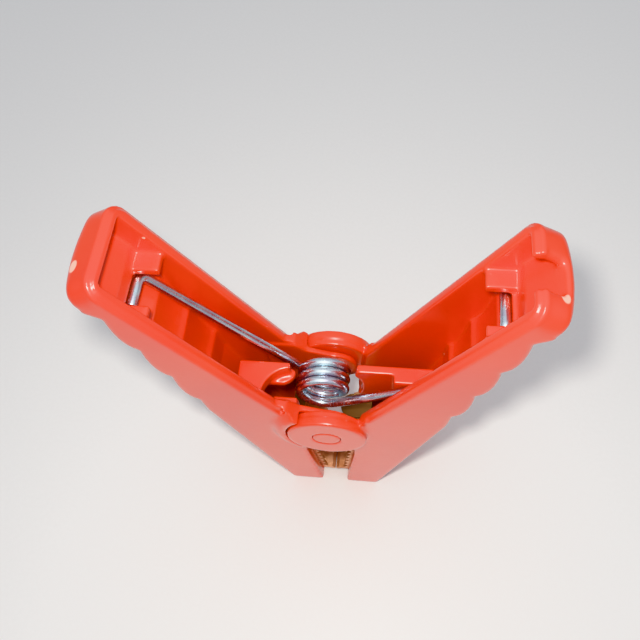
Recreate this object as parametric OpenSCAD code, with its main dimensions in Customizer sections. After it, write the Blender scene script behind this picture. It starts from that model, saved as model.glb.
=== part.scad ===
// Spring clip: two moulded halves that snap together on moulded studs,
// a torsion spring between them, and a toothed copper liner in each jaw.
// X runs from the left handle to the right one, Y along the pivot, Z up.
// The clip stands on its jaw tips, with the origin between them.

/* [Overall] */
// Height of the pivot axis above the jaw tips
pivot_h = 38.6; // [36:0.2:42]
// Width of each moulded half along the pivot
half_w = 19.5; // [18:0.5:21]
// Width over the two pivot discs
disc_span = 23.1; // [22.6:0.1:24]
// Angle of each handle's rim from upright, with the jaws closed
rim_angle = 28.5; // [28:0.1:29]

/* [Moulding] */
// Thickness of the side walls
wall = 2.8; // [2.2:0.1:3]
// Thickness of the outer wall, under the finger grips
floor_t = 2.5; // [2.3:0.1:2.7]
// How far inside the rim the crowned outer wall has its centre
crown_in = 20; // [16:0.5:24]
// Thickness of the end wall of each handle
end_t = 2.2; // [1.6:0.1:2.6]
// Radius of the handle's end corners, seen from above
corner_r = 3.6; // [2:0.2:5]
// Number of finger grip waves on each handle
grips = 3; // [2:1:4]
// Height of a finger grip wave
grip_h = 1.5; // [0.8:0.1:2]
// Width of the cable exit in the right handle's end wall
exit_w = 6.4; // [5:0.1:7]

/* [Pivot] */
// Radius of the outer discs
disc_r = 9; // [8.4:0.1:9.4]
// Radius of the inner ears that carry the studs
ear_r = 5.6; // [5:0.1:6]
// Radius of the moulded studs
stud_r = 3.2; // [2.8:0.1:3.6]
// Running clearance of a stud in its hole
stud_fit = 0.05; // [0.02:0.01:0.1]
// Clearance between the faces of the two halves
gap = 0.15; // [0.1:0.05:0.3]

/* [Spring] */
// Wire diameter
wire_d = 2.0; // [1.6:0.1:2.2]
// Mean radius of the coil
coil_r = 5; // [4.6:0.1:5.4]
// Distance from turn to turn
coil_pitch = 2.4; // [2.2:0.1:2.5]

/* [Jaw liners] */
// Thickness of the copper sheet
sheet = 0.8; // [0.6:0.1:1]
// Number of teeth on each edge
teeth = 9; // [6:1:12]
// Depth of a tooth
tooth_h = 1.1; // [0.8:0.1:1.4]
// Half of the gap between the closed toes
toe_gap = 0.12; // [0.05:0.01:0.3]

/* [Hidden] */
$fn = 72;

half_y = half_w / 2;
inner_y = half_y - wall;
disc_y = disc_span / 2;
ear_in_y = 6.5;
ear_out_y = 7.9;
plastic = [0.93, 0.22, 0.08];
copper = [0.78, 0.55, 0.36];
zinc = [0.78, 0.8, 0.83];

// Side view, pivot at the origin, right half. Each point is [x, z].
rim_dir = [sin(rim_angle), cos(rim_angle)];
rim_out = [cos(rim_angle), -sin(rim_angle)];
rim_start = [7.85, 6.2];
rim_len = 58.7;
end_depth = 6.2;
rim_end = rim_start + rim_len * rim_dir;
end_low = rim_end + end_depth * rim_out;
tip_out = [11.4, -pivot_h];
tip_in = [3.2, -pivot_h];
throat = [5.7, -15.5];
grip_first = [26.6, 14];
grip_last = [37.3, 52.2];
straight_top = [25.9, 8.2];
heel_r = 2;
grip_step = (grip_last - grip_first) / (grips + 0.35);

// One point of a finger grip wave, t from 0 at its lower valley to 1 at its upper one
function grip_at(k, t, h) = grip_first + (k + t) * grip_step
    + h * pow(sin(180 * pow(t, 0.72)), 0.85) * rim_out;
grip_side = [for (k = [0:grips - 1], i = [0:9]) grip_at(k, i / 10, grip_h)];
last_valley = grip_first + grips * grip_step;
heel = end_low - heel_r * (rim_dir + rim_out);
heel_side = [for (a = [0:15:90]) heel + heel_r * (cos(a) * rim_out + sin(a) * rim_dir)];
outer_side = concat(
    [tip_out, straight_top],
    grip_side,
    [last_valley, last_valley + 0.45 * (heel_side[0] - last_valley) + 1.0 * rim_out],
    heel_side);

// The outer wall is crowned: its middle stands further out than its edges
function across(p) = (p - rim_start) * rim_out;
function along(p) = (p - rim_start) * rim_dir;
function crown(p) = norm([crown_in + across(p), half_y]) - crown_in - across(p);

// Line of the outer wall's inner face, from the jaw tip to the handle's end
jaw_slope = (straight_top[0] - tip_out[0]) / (straight_top[1] - tip_out[1]);
floor_mid = straight_top + (crown(straight_top) - floor_t) * rim_out;
floor_tip_z = -pivot_h + 1.6;
floor_tip = [floor_mid[0] - jaw_slope * (floor_mid[1] - floor_tip_z) - 0.5, floor_tip_z];
floor_depth = end_depth + crown(end_low) - floor_t;
floor_end = rim_end + floor_depth * rim_out - end_t * rim_dir;
rim_inner_end = rim_end - end_t * rim_dir;
floor_waves = [for (k = [0:grips - 1], i = [0:7])
    grip_at(k, i / 8, 0.6 * grip_h) + (crown(grip_at(k, i / 8, 0)) - floor_t) * rim_out];
function floor_x(z) = z > floor_mid[1]
    ? floor_mid[0] + (floor_end[0] - floor_mid[0]) * (z - floor_mid[1]) / (floor_end[1] - floor_mid[1])
    : floor_tip[0] + (floor_mid[0] - floor_tip[0]) * (z - floor_tip[1]) / (floor_mid[1] - floor_tip[1]);

// Coil axis and both hooks of the spring, in the side view
coil_c = [-1.4, 6.5];
left_hook = [-34.4, 42.2];
right_hook = [33, 42.2];

// Solid between y = from and y = to with a side view outline
module slab(outline, from, to) {
    translate([0, to, 0])
        rotate([90, 0, 0])
            linear_extrude(height = to - from)
                polygon(outline);
}

// The same on both sides of the middle
module slab_pair(outline, from, to) {
    slab(outline, from, to);
    slab(outline, -to, -from);
}

// Round bar along the pivot
module bar(r, from, to) {
    translate([0, to, 0])
        rotate([90, 0, 0])
            cylinder(r = r, h = to - from);
}

module bar_pair(r, from, to) {
    bar(r, from, to);
    bar(r, -to, -from);
}

// Rounded end of the handle, seen at right angles to the rim, smaller all round by inset
module end_plan(inset, from, to) {
    long = 140;
    r = corner_r - inset;
    y = half_y - inset;
    translate([rim_end[0], 0, rim_end[1]])
        rotate([0, rim_angle, 0])
            translate([from, 0, -inset])
                rotate([90, 0, 90])
                    linear_extrude(height = to - from)
                        union() {
                            translate([-y, -long])
                                square([2 * y, long - r]);
                            translate([-y + r, -long])
                                square([2 * y - 2 * r, long]);
                            for (s = [-1, 1])
                                translate([s * (y - r), -r])
                                    circle(r = r);
                        }
}

// Narrow step round the outside of the rim
module rim_step() {
    step_w = 0.9;
    step_h = 0.7;
    difference() {
        translate([rim_end[0], 0, rim_end[1]])
            rotate([0, rim_angle, 0])
                translate([-1, -half_y - 1, 2 - rim_len])
                    cube([1 + step_h, 2 * half_y + 2, rim_len]);
        end_plan(step_w, -2, step_h + 1);
    }
}

// Everything that the channel removes from a half
module channel() {
    open_side = [-12, 30];
    slab(concat(
        [[-12, floor_tip[1]], floor_tip, floor_mid], floor_waves,
        [floor_end, rim_inner_end, rim_inner_end - 12 * rim_out, open_side]
    ), -inner_y, inner_y);
}

// Round body about a line inside the handle, which gives the outer wall its crown
module crowned_body() {
    low = tip_out - 12 * [jaw_slope, 1];
    side = concat([low], [for (i = [1:len(outer_side) - 1]) outer_side[i]]);
    centre = rim_start - crown_in * rim_out;
    translate([centre[0], 0, centre[1]])
        rotate([0, rim_angle, 0])
            rotate_extrude($fn = 180)
                polygon(concat(
                    [[0, along(low)]],
                    [for (p = side) [norm([crown_in + across(p), half_y]), along(p)]],
                    [[0, along(rim_end)]]));
}

// Channel half with a given inner edge, listed from the handle down to the jaw
module shell(inner_edge) {
    far = 60;
    difference() {
        intersection() {
            slab(concat(
                [rim_end], inner_edge, [throat, tip_in, [far, -pivot_h], [far, rim_end[1]]]
            ), -half_y, half_y);
            crowned_body();
            end_plan(0, -60, 60);
        }
        channel();
        rim_step();
    }
}

// Pair of ribs above the spring's hook, and the seat that the hook presses on
module hook_ribs(rib_in, hook) {
    rib_top = 45;
    rib_low = rib_top - 1.7;
    seat_x = hook[0] + wire_d / 2 + 0.05;
    into = -0.5;
    outline = [
        [rib_in, rib_top], [rib_in, rib_low],
        [floor_x(rib_low) + into, rib_low], [floor_x(rib_top) + into, rib_top]
    ];
    slab(outline, 3, inner_y + 0.5);
    slab(outline, -inner_y - 0.5, -4.4);
    slab([
        [seat_x, rib_low], [seat_x, hook[1] - 1.2], [floor_x(hook[1] - 4) - 1.2, hook[1] - 4],
        [floor_x(hook[1] - 4) + into, hook[1] - 4], [floor_x(rib_low) + into, rib_low]
    ], -4.9, 3.5);
}

// Web across the right half: a thin tongue towards the coil and a block beside the spring's arm
module right_web() {
    top = 14;
    low = 2;
    arc_r = 8.9;
    arc = [for (a = [36:-11:-30]) coil_c + arc_r * [cos(a), sin(a)]];
    top_end = [floor_x(top) + 1.2, top];
    low_end = [floor_x(low) + 1.2, low];
    slab(concat([top_end, [6.4, top]], arc, [low_end]), -0.9, 1);
    slab([top_end, [14.3, top], [14.3, 6], [floor_x(6) + 1.2, 6]], -2.9, 1);
}

// Web beside the near wall of the left half, with a rounded cut for the coil, a lower lobe
// towards the coil, and a block in the corner by the ear
module left_web() {
    wall_y = -inner_y - 0.5;
    web_out = -19.4;
    translate([0, 0, 10.6])
        linear_extrude(height = 3.4)
            difference() {
                translate([web_out, wall_y])
                    square([-8.2 - web_out, 0.5 - wall_y]);
                translate([-7.4, -7.3])
                    circle(r = 6.45);
            }
    translate([0, 0, 9])
        linear_extrude(height = 1.7)
            polygon([
                [-18, 0.5], [-8.1, 0.5], [-7.3, 0], [-7.3, -0.9], [-7.8, -1.8], [-8.6, -2.6],
                [-9.6, -3.1], [-13.6, -3.3], [-18, -3.4]
            ]);
    slab([[-12.2, 7], [-6.8, 7], [-6.4, 5], [-6.4, -2], [-12.2, -2]], wall_y, -4.75);
}

// Left moulding: inner ears with studs, and a cone-shaped collar round each disc
module left_handle() {
    color(plastic)
        translate([0, 0, pivot_h])
            difference() {
                union() {
                    mirror([1, 0, 0]) {
                        shell([[10.6, 11.3], [8.4, 10.5], [5.9, 7.5]]);
                        hook_ribs(30, [-left_hook[0], left_hook[1]]);
                    }
                    left_web();
                    // Ears and the plates that join them to the side walls
                    bar_pair(ear_r, ear_in_y, ear_out_y);
                    slab_pair([
                        [-16, 9.9], [-8.2, 9.9], [-5.9, 7.5], [0, ear_r], [0, -ear_r], [-5.7, -13],
                        [-14, -13]
                    ], ear_in_y, ear_out_y);
                    bar_pair(stud_r, ear_out_y - 0.1, disc_y);
                    collars();
                }
                // Hollow in the outer wall for the spring's hook
                slab([
                    [-32, 43.3], [left_hook[0] - wire_d / 2 - 0.06, 43.3],
                    [left_hook[0] - wire_d / 2 - 0.06, 41.2], [-34.7, 38.4], [-32, 36]
                ], -4.8, 5);
                // Pockets for the right half's discs
                difference() {
                    bar_pair(disc_r + 0.3, ear_out_y, disc_y + 1);
                    bar_pair(stud_r, ear_out_y - 1, disc_y);
                }
            }
}

module collars() {
    collar_h = 1.5;
    intersection() {
        for (s = [-1, 1])
            translate([0, s * (half_y - 0.2), 0])
                rotate([-90 * s, 0, 0])
                    cylinder(r1 = 12.9, r2 = 10.8, h = collar_h + 0.2);
        slab([[-14, 13], [-10.6, 11.3], [-8.4, 10.5], [-5.9, 7.5], [-5.7, -14], [-14, -14]],
            -disc_y, disc_y);
    }
}

// Right moulding: outer discs with the stud holes, and the cable exit
module right_handle() {
    clear_y = ear_out_y + gap;
    color(plastic)
        translate([0, 0, pivot_h])
            difference() {
                union() {
                    shell([[7.5, 5.6], [6.9, -1], [5.7, -9.3]]);
                    hook_ribs(29.3, right_hook);
                    right_web();
                    bar_pair(disc_r - 0.35, clear_y, half_y);
                    bar_pair(disc_r, half_y - 0.1, disc_y);
                }
                bar_pair(stud_r + stud_fit, ear_out_y - 1, disc_y + 1);
                cable_exit();
            }
}

// Slot through the end wall, down to the outer wall
module cable_exit() {
    translate([rim_end[0], -1, rim_end[1]])
        rotate([0, rim_angle, 0])
            translate([-2, -exit_w / 2, -end_t - 1])
                cube([2 + floor_depth, exit_w, end_t + 3]);
}

// Toothed copper channel inside the right jaw, closed by a toe plate at the tip
module jaw_liner() {
    liner_y = inner_y - 0.05;
    low_z = -36.9;
    base_low = [8.2, low_z];
    base_high = [9.6, -9];
    flange_top = -13.4;
    base_mid = base_low + (base_high - base_low) * (flange_top - low_z) / (base_high[1] - low_z);
    edge_low = [2 + tooth_h, low_z];
    edge_high = [4.6 + tooth_h, -15];
    edge = edge_high - edge_low;
    tooth = edge / teeth;
    tooth_side = [-tooth_h, 0];
    saw = [for (k = [0:teeth - 1], p = [[0, 0], [0.5, 1]])
        edge_low + (k + p[0]) * tooth + p[1] * tooth_side];
    flange = concat(
        [base_low, base_mid, [7.4, flange_top], edge_high],
        [for (i = [len(saw) - 1:-1:0]) saw[i]]);
    slab_pair(flange, liner_y - sheet, liner_y);
    slab([base_low, base_high, base_high - [sheet, 0], base_low - [sheet, 0]],
        -liner_y + 0.6, liner_y - 0.6);
    slab([
        [base_low[0] - 0.1, low_z], [base_low[0] - 0.1, low_z + sheet], [0.9, low_z + sheet],
        [toe_gap, low_z + 0.3], [toe_gap, low_z - 0.5], [1, low_z - 0.5], [1.6, low_z]
    ], -liner_y, liner_y);
}

module left_jaw_liner() {
    color(copper)
        translate([0, 0, pivot_h])
            mirror([1, 0, 0]) {
                jaw_liner();
                slab([[9.6, -9], [8.8, -9], [6.6, -6.4], [7, -5.7]], -3, 3);
            }
}

// The right liner carries the soldering tag for the cable
module right_jaw_liner() {
    tag_w = 6;
    color(copper)
        translate([0, 0, pivot_h]) {
            jaw_liner();
            slab([[9.6, -9], [8.8, -9], [8.6, -8.2], [9.4, -7.4]], -tag_w / 2, tag_w / 2);
            translate([0, 0, -8.2])
                linear_extrude(height = sheet)
                    union() {
                        translate([5, -tag_w / 2])
                            square([4.4, tag_w]);
                        translate([5, 0])
                            circle(r = tag_w / 2);
                    }
        }
}

// Spring route: left hook, left arm, coil, right arm, right hook
arm_y = 1.5 * coil_pitch;
right_arm_y = -4.2;
left_turn = 216.5;
right_turn = 304.7;
coil_turns = 3 + (right_turn - left_turn) / 360;
coil_steps = 26;
coil_n = ceil(coil_turns * coil_steps);
coil_path = [for (i = [0:coil_n])
    let (t = i / coil_n, a = left_turn + 360 * coil_turns * t)
    [coil_c[0] + coil_r * cos(a), arm_y * (1 - 2 * t), coil_c[1] + coil_r * sin(a)]];
coil_in = coil_path[0];
coil_out = coil_path[coil_n];
bend_r = 1.8;

// Quarter bend from the arm into the hook, at the corner point c
function bend(c, arm_dir, side, n) = [for (i = [0:n])
    let (a = 90 * i / n)
    c - bend_r * arm_dir * (1 - sin(a)) - [0, side * bend_r * (1 - cos(a)), 0]];
function unit(v) = v / norm(v);
function reversed(list) = [for (i = [len(list) - 1:-1:0]) list[i]];

left_corner = [left_hook[0], arm_y, left_hook[1]];
right_knee = [20, right_arm_y, 14.6];
right_corner = [right_hook[0], right_arm_y, right_hook[1]];
left_dir = unit(left_corner - coil_in);
right_dir = unit(right_corner - right_knee);
knee_in = unit(right_knee - coil_out);
knee_path = [for (i = [0:5])
    let (t = i / 5, p = right_knee - 3 * knee_in, q = right_knee + 3 * right_dir)
    (1 - t) * (1 - t) * p + 2 * t * (1 - t) * right_knee + t * t * q];
spring_path = concat(
    [[left_hook[0], -arm_y, left_hook[1]]],
    reversed(bend(left_corner, left_dir, 1, 5)),
    coil_path,
    knee_path,
    bend(right_corner, right_dir, -1, 5),
    [[right_hook[0], arm_y, right_hook[1]]]);

// Round tube along a list of points, with closed ends
module tube(path, r, sides) {
    n = len(path);
    dir = [for (i = [0:n - 1]) unit(path[min(i + 1, n - 1)] - path[max(i - 1, 0)])];
    ring = [for (i = [0:n - 1])
        let (u = frames(dir, i), v = cross(dir[i], u))
        for (k = [0:sides - 1])
            path[i] + r * (cos(360 * k / sides) * u + sin(360 * k / sides) * v)];
    skin = [for (i = [0:n - 2], k = [0:sides - 1])
        let (a = i * sides + k, b = i * sides + (k + 1) % sides)
        [a, b, b + sides, a + sides]];
    polyhedron(ring, concat(skin,
        [[for (k = [sides - 1:-1:0]) k]],
        [[for (k = [0:sides - 1]) (n - 1) * sides + k]]));
}

// Direction that turns with the path and never twists
function carried(u, d) = unit(u - (u * d) * d);
function frames(dir, i) = i == 0 ? carried([1, 0, 0.3], dir[0]) : carried(frames(dir, i - 1), dir[i]);

module torsion_spring() {
    color(zinc)
        translate([0, 0, pivot_h])
            tube(spring_path, wire_d / 2, 10);
}

left_handle();
right_handle();
torsion_spring();
left_jaw_liner();
right_jaw_liner();
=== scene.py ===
"""Insulated spring clip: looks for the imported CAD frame. Metres, Z up, origin between the jaw tips."""
import math

import bpy
import numpy as np
from mathutils import Matrix, Vector


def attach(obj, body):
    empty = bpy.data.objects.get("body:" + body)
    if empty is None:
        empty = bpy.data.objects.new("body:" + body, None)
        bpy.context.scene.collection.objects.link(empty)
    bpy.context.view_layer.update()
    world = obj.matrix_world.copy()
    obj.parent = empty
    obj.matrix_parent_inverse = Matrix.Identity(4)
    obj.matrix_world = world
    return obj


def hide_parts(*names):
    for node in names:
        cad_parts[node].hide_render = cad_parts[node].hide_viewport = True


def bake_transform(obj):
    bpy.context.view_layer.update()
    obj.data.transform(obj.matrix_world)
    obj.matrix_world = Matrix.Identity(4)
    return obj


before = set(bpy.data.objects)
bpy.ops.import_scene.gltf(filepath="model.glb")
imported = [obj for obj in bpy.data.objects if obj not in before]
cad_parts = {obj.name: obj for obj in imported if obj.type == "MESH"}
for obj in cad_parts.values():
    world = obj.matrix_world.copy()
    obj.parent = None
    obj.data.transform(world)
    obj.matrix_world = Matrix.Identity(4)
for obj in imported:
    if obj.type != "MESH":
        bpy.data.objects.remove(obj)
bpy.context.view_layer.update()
scene = bpy.context.scene
MM = 0.001

# Dimensions shared with the CAD, in millimetres and radians.
PIVOT_H = 38.6
RIM_TILT = math.radians(28.5)
RIM_X, RIM_Z = 7.85, 6.2
HOOK_H = PIVOT_H + 42.2
LEFT_HOOK_X, RIGHT_HOOK_X = -34.4, 33.0


# ---------------------------------------------------------------- camera
def make_camera():
    """The fitted camera: its angles in radians, its target and distance in mm."""
    cam = bpy.data.objects.new("camera", bpy.data.cameras.new("camera"))
    scene.collection.objects.link(cam)
    az, el, roll, distance = 0.220, 1.066, -0.137, 133.41
    target = Vector((-0.29, 0.0, 34.96 + PIVOT_H)) * MM
    back = Vector((math.sin(az) * math.cos(el), -math.cos(az) * math.cos(el), math.sin(el)))
    right = Vector((math.cos(az), math.sin(az), 0.0))
    up = back.cross(right)
    r = right * math.cos(roll) + up * math.sin(roll)
    u = up * math.cos(roll) - right * math.sin(roll)
    place = Matrix((r, u, back)).transposed().to_4x4()
    place.translation = target + distance * MM * back
    cam.matrix_world = place
    cam.data.sensor_width = 36.0
    cam.data.lens = 39.5685
    cam.data.clip_start = 0.005
    cam.data.clip_end = 20.0
    scene.camera = cam


# ---------------------------------------------------------------- node helpers
def set_range(node, *limits):
    for k, v in zip(("From Min", "From Max", "To Min", "To Max"), limits):
        node.inputs[k].default_value = v


class Mat:
    """A material on one Principled shader, with short calls for its nodes."""

    def __init__(self, name):
        self.m = bpy.data.materials.new(name)
        self.m.use_nodes = True
        self.t = self.m.node_tree
        self.b = self.t.nodes["Principled BSDF"]
        self.pos = self.t.nodes.new("ShaderNodeTexCoord").outputs["Object"]

    def set(self, **values):
        for k, v in values.items():
            self.b.inputs[k.replace("_", " ")].default_value = v

    def node(self, kind, **props):
        n = self.t.nodes.new(kind)
        for k, v in props.items():
            setattr(n, k, v)
        return n

    def link(self, a, b):
        self.t.links.new(a, b)

    def put(self, socket, value):
        if hasattr(value, "is_output"):
            self.link(value, socket)
        else:
            socket.default_value = value

    def math(self, op, a, b=0.0, c=None):
        n = self.node("ShaderNodeMath", operation=op)
        self.put(n.inputs[0], a)
        self.put(n.inputs[1], b)
        if c is not None:
            self.put(n.inputs[2], c)
        return n.outputs[0]

    def scaled(self, x, y, z):
        n = self.node("ShaderNodeMapping")
        self.link(self.pos, n.inputs["Vector"])
        n.inputs["Scale"].default_value = (x, y, z)
        return n.outputs[0]

    def noise(self, scale, detail=3.0, rough=0.5, vector=None):
        n = self.node("ShaderNodeTexNoise")
        self.link(vector or self.pos, n.inputs["Vector"])
        n.inputs["Scale"].default_value = scale
        n.inputs["Detail"].default_value = detail
        n.inputs["Roughness"].default_value = rough
        return n.outputs["Fac"]

    def ramp(self, fac, lo, hi, out_lo=0.0, out_hi=1.0):
        n = self.node("ShaderNodeMapRange", interpolation_type="SMOOTHSTEP")
        self.put(n.inputs["Value"], fac)
        set_range(n, lo, hi, out_lo, out_hi)
        return n.outputs[0]

    def mix(self, fac, a, b):
        n = self.node("ShaderNodeMix", data_type="RGBA")
        self.put(n.inputs["Factor"], fac)
        self.put(n.inputs["A"], a)
        self.put(n.inputs["B"], b)
        return n.outputs["Result"]

    def near(self, point, radius, soft, squash=(1, 1, 1)):
        """1 within radius of a point given in mm, and 0 past radius + soft."""
        away = self.node("ShaderNodeVectorMath", operation="SUBTRACT")
        self.link(self.pos, away.inputs[0])
        away.inputs[1].default_value = Vector(point) * MM
        flat = self.node("ShaderNodeVectorMath", operation="MULTIPLY")
        self.link(away.outputs[0], flat.inputs[0])
        flat.inputs[1].default_value = squash
        size = self.node("ShaderNodeVectorMath", operation="LENGTH")
        self.link(flat.outputs[0], size.inputs[0])
        return self.ramp(size.outputs["Value"], radius * MM, (radius + soft) * MM, 1.0, 0.0)

    def bump(self, height, distance, strength):
        n = self.node("ShaderNodeBump")
        n.inputs["Strength"].default_value = strength
        n.inputs["Distance"].default_value = distance
        self.link(height, n.inputs["Height"])
        return n.outputs["Normal"]


def lin(r, g, b):
    """8-bit screen colour to linear."""

    def one(c):
        return (c / 255) / 12.92 if c <= 10 else ((c / 255 + 0.055) / 1.055) ** 2.4

    return (one(r), one(g), one(b), 1.0)


def red_plastic(name, gate, specks):
    """Glossy red plastic, pale at the gate mark on its end face and at each speck (places in mm)."""
    m = Mat(name)
    cloud = m.noise(35.0, 2.0)
    fine = m.noise(1100.0, 3.0, 0.6)
    base = m.mix(m.ramp(cloud, 0.35, 0.7), lin(227, 66, 12), lin(221, 58, 9))
    pale = m.near(gate, 0.75, 0.3, (1.0, 0.75, 1.0))
    for p in specks:
        pale = m.math("MAXIMUM", pale, m.near(p, 0.25, 0.15))
    streaks = m.noise(90.0, 5.0, 0.75, m.scaled(1.0, 1.0, 9.0))
    scuff = m.ramp(streaks, 0.6, 0.8, 0.0, 0.08)
    worn = m.math("MAXIMUM", m.math("MULTIPLY", pale, 0.92), scuff)
    m.link(m.mix(worn, base, lin(255, 206, 186)), m.b.inputs["Base Color"])
    rough = m.math("MULTIPLY_ADD", fine, 0.08, 0.24)
    rough = m.math("MULTIPLY_ADD", streaks, 0.06, rough)
    m.link(rough, m.b.inputs["Roughness"])
    m.link(m.bump(cloud, 0.0003, 0.3), m.b.inputs["Normal"])
    m.set(IOR=1.65, Specular_IOR_Level=0.5, Coat_Weight=0.7, Coat_Roughness=0.22, Coat_IOR=1.5)
    return m.m


def zinc_wire():
    m = Mat("zinc_wire")
    streak = m.noise(500.0, 4.0, 0.6)
    blotch = m.noise(240.0, 4.0, 0.65)
    base = m.mix(m.ramp(blotch, 0.35, 0.65), lin(220, 236, 243), lin(206, 204, 220))
    m.link(base, m.b.inputs["Base Color"])
    m.link(m.math("MULTIPLY_ADD", streak, 0.26, 0.14), m.b.inputs["Roughness"])
    m.link(m.bump(streak, 0.00003, 0.5), m.b.inputs["Normal"])
    m.set(Metallic=1.0)
    return m.m


def copper_sheet():
    m = Mat("copper_sheet")
    blotch = m.noise(220.0, 4.0, 0.6)
    fine = m.noise(1400.0, 3.0)
    split = m.node("ShaderNodeSeparateXYZ")
    m.link(m.pos, split.inputs[0])
    # Painted shade: liner above 22 to 28 mm height, deep in the throat under the pivot, is painted dark
    # brown where it lies in shade.
    painted_shade = m.ramp(split.outputs["Z"], 0.022, 0.028)
    bright = m.mix(m.ramp(blotch, 0.4, 0.68), lin(240, 186, 146), lin(196, 136, 96))
    m.link(m.mix(painted_shade, bright, lin(128, 98, 62)), m.b.inputs["Base Color"])
    m.link(m.math("MULTIPLY_ADD", blotch, 0.3, 0.22), m.b.inputs["Roughness"])
    m.link(m.bump(fine, 0.00002, 0.4), m.b.inputs["Normal"])
    m.set(Metallic=0.65)
    return m.m


# ---------------------------------------------------------------- meshes
def dress(mesh, material):
    mesh.materials.clear()
    mesh.materials.append(material)
    for p in mesh.polygons:
        p.use_smooth = True


def new_object(name, mesh, material):
    o = bpy.data.objects.new(name, mesh)
    scene.collection.objects.link(o)
    dress(mesh, material)
    return o


def relax(mesh, rounds, weight):
    """Rounds edges: each point moves towards the mean of its neighbours, for weight * rounds rounds."""
    n = len(mesh.vertices)
    co = np.empty(n * 3)
    mesh.vertices.foreach_get("co", co)
    co = co.reshape(-1, 3)
    e = np.empty(len(mesh.edges) * 2, np.int64)
    mesh.edges.foreach_get("vertices", e)
    a, b = e.reshape(-1, 2).T
    count = np.bincount(np.concatenate([a, b]), minlength=n)[:, None]
    w = weight(co)
    for k in range(rounds):
        total = np.stack([np.bincount(a, co[b, i], n) + np.bincount(b, co[a, i], n) for i in range(3)], 1)
        step = np.clip(w - k / rounds, 0.0, 1.0 / rounds) * rounds
        co = co + 0.5 * step[:, None] * (total / count - co)
    mesh.vertices.foreach_set("co", co.ravel())
    mesh.update()


def moulding(node, name, material):
    """The CAD half with every edge softly rounded, as a moulding has them."""
    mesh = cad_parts[node].data.copy()
    mesh.name = name
    o = new_object(name, mesh, material)
    weld = o.modifiers.new("weld", "WELD")
    weld.merge_threshold = 1e-6
    grid = o.modifiers.new("grid", "REMESH")
    grid.mode = "VOXEL"
    grid.voxel_size = 0.3 * MM
    grid.use_smooth_shade = True
    solid = bpy.data.meshes.new_from_object(o.evaluated_get(bpy.context.evaluated_depsgraph_get()))
    o.modifiers.clear()
    o.data = solid
    bpy.data.meshes.remove(mesh)
    solid.name = name

    def weight(co):
        """How far each place is rounded: most at the handle's end, least at the stud."""
        x, y, z = np.abs(co[:, 0]) / MM, np.abs(co[:, 1]) / MM, co[:, 2] / MM - PIVOT_H
        along = (x - RIM_X) * math.sin(RIM_TILT) + (z - RIM_Z) * math.cos(RIM_TILT)
        across = (x - RIM_X) * math.cos(RIM_TILT) - (z - RIM_Z) * math.sin(RIM_TILT)
        w = np.where(y > 8.7, 0.34, np.where(y > 6.6, 0.16, 0.08))
        w[(along > 54.0) & (across > 1.6)] = 0.9
        w[(along > 0) & (across < 1.5)] = 0.1
        w[(np.hypot(x, z) < 9.4) & (y > 8.7)] = 0.12
        w[(np.hypot(x, z) < 4.6) & (y > 9.5)] = 0.05
        return w

    relax(solid, 40, weight)
    dress(solid, material)
    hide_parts(node)
    return o


def unit(v):
    return v / np.linalg.norm(v)


def wire(name, path, radius, material, end_cap, sides=24):
    """Round wire along a list of points in mm, open at its start and domed at a capped end."""
    path = np.array(path, float)
    n = len(path)
    tangent = np.array([unit(path[min(i + 1, n - 1)] - path[max(i - 1, 0)]) for i in range(n)])
    u = unit(np.cross(tangent[0], (0.3, 1.0, 0.2)))
    rings, verts, faces = [], [], []
    for i in range(n):
        u = unit(u - u.dot(tangent[i]) * tangent[i])
        rings.append((path[i], u, np.cross(tangent[i], u), radius))
    if end_cap:
        c, u, v, _ = rings.pop()
        for back, share in ((0.4, 1.0), (0.18, 0.86), (0.0, 0.55)):
            rings.append((c - tangent[-1] * back * radius, u, v, radius * share))
    for centre, u, v, r in rings:
        for k in range(sides):
            a = 2 * math.pi * k / sides
            verts.append(centre + r * (math.cos(a) * u + math.sin(a) * v))
    for i in range(len(rings) - 1):
        for k in range(sides):
            a, b = i * sides + k, i * sides + (k + 1) % sides
            faces.append((a, b, b + sides, a + sides))
    if end_cap:
        faces.append(tuple((len(rings) - 1) * sides + k for k in range(sides)))
    mesh = bpy.data.meshes.new(name)
    mesh.from_pydata([tuple(v * MM) for v in verts], [], faces)
    mesh.update()
    return new_object(name, mesh, material)


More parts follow.
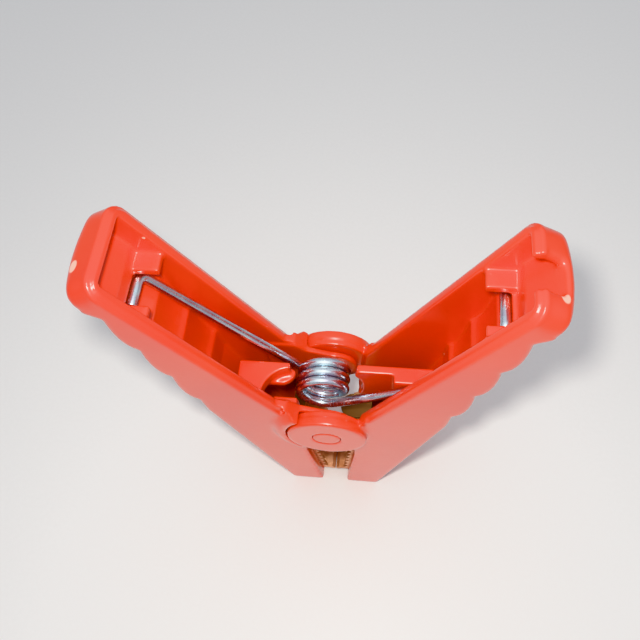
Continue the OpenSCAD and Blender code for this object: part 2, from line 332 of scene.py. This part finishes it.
def spring(material):
    """The torsion spring in three stretches: both arms with their hooks, and the coil."""
    coil_x, coil_z = -1.4, PIVOT_H + 6.5
    coil_r, pitch, wire_r, bend_r = 5.0, 2.4, 1.0, 1.8
    arm_y = 1.5 * pitch
    a0, a1 = math.radians(216.5), math.radians(304.7 + 3 * 360)
    steps = 160
    coil = []
    for i in range(steps + 1):
        t = i / steps
        a = a0 + (a1 - a0) * t
        coil.append((coil_x + coil_r * math.cos(a), arm_y * (1 - 2 * t), coil_z + coil_r * math.sin(a)))

    def hooked(start, corner, end_y, knee=None):
        """An arm from the coil to a bent corner and across to end_y, perhaps over a knee."""
        start, corner = np.array(start), np.array(corner)
        pts = [start]
        last = start
        if knee is not None:
            knee = np.array(knee)
            p, q = knee - 3 * unit(knee - start), knee + 3 * unit(corner - knee)
            for i in range(13):
                t = i / 12
                pts.append((1 - t) ** 2 * p + 2 * t * (1 - t) * knee + t * t * q)
            last = knee
        d = unit(corner - last)
        pts += [pts[-1] + (corner - bend_r * d - pts[-1]) * t for t in (0.25, 0.5, 0.75)]
        for i in range(13):
            a = math.pi / 2 * i / 12
            turn = math.copysign(bend_r * (1 - math.cos(a)), end_y)
            pts.append(corner - bend_r * d * (1 - math.sin(a)) + np.array((0, turn, 0)))
        pts.append(np.array((corner[0], end_y, corner[2])))
        return pts

    left = hooked(coil[0], (LEFT_HOOK_X, arm_y, HOOK_H), -arm_y)
    right = hooked(coil[-1], (RIGHT_HOOK_X, -4.2, HOOK_H), arm_y, (20.0, -4.2, PIVOT_H + 14.6))
    middle = wire("spring_coil", coil, wire_r, material, False)
    left_arm = wire("spring_left_arm", left, wire_r, material, True)
    right_arm = wire("spring_right_arm", right, wire_r, material, True)
    for o in (middle, left_arm, right_arm):
        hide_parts("torsion_spring")

    def between(o, start, half):
        """Bakes the object's transform into its mesh; start and half are not used."""
        start, half = Vector(start) * MM, Vector(half) * MM
        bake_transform(o)

    between(left_arm, (LEFT_HOOK_X, 0, HOOK_H), coil[0])
    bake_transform(middle)
    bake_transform(right_arm)


# ---------------------------------------------------------------- stage
def area_light(name, place, aim, size, power, colour):
    light = bpy.data.lights.new(name, "AREA")
    light.shape = "DISK"
    light.size = size
    light.energy = power
    light.color = colour
    o = bpy.data.objects.new(name, light)
    scene.collection.objects.link(o)
    o.location = place
    o.rotation_euler = (Vector(aim) - Vector(place)).to_track_quat("-Z", "Y").to_euler()


def stage():
    """A pale floor, a world that is dim at the horizon, and one small lamp beside the camera."""
    mesh = bpy.data.meshes.new("floor")
    s = 12.0
    mesh.from_pydata([(-s, -s, 0), (s, -s, 0), (s, s, 0), (-s, s, 0)], [], [(0, 1, 2, 3)])
    m = Mat("floor_paint")
    grain = m.noise(900.0, 2.0)
    m.link(m.mix(grain, lin(231, 230, 228), lin(227, 226, 224)), m.b.inputs["Base Color"])
    m.set(Roughness=0.45, Specular_IOR_Level=0.3)
    floor = bpy.data.objects.new("floor", mesh)
    scene.collection.objects.link(floor)
    mesh.materials.append(m.m)
    floor.location.z = -0.0001
    world = bpy.data.worlds.new("room")
    world.use_nodes = True
    nodes, links = world.node_tree.nodes, world.node_tree.links
    nodes["Background"].inputs["Color"].default_value = (0.93, 0.95, 1.0, 1)
    split = nodes.new("ShaderNodeSeparateXYZ")
    links.new(nodes.new("ShaderNodeTexCoord").outputs["Generated"], split.inputs[0])
    sky = nodes.new("ShaderNodeMapRange")
    sky.interpolation_type = "SMOOTHSTEP"
    links.new(split.outputs["Z"], sky.inputs["Value"])
    set_range(sky, 0.0, 0.6, 0.28, 0.76)
    links.new(sky.outputs[0], nodes["Background"].inputs["Strength"])
    scene.world = world
    area_light("key", (0.005, -0.053, 0.192), (0, 0, 0.02), 0.012, 0.24, (1.0, 0.97, 0.9))


make_camera()
stage()
scene.view_settings.view_transform = "Khronos PBR Neutral"

plastic_left = red_plastic("red_plastic_left", (-40.5, -3.4, 93.9), [(-32.2, 6.95, 88.1)])
plastic_right = red_plastic("red_plastic_right", (40.1, -4.5, 94.1), [(25.2, 6.5, 49.0)])
left = moulding("left_handle", "left_moulding", plastic_left)
right = moulding("right_handle", "right_moulding", plastic_right)
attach(left, "left_half")
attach(right, "right_half")
spring(zinc_wire())

copper = copper_sheet()
for n in ("left_jaw_liner", "right_jaw_liner"):
    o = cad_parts[n]
    for s in o.material_slots:
        s.material = copper
    bevel = o.modifiers.new("edge", "BEVEL")
    bevel.width = 0.00012
    bevel.segments = 2
    bevel.limit_method = "ANGLE"
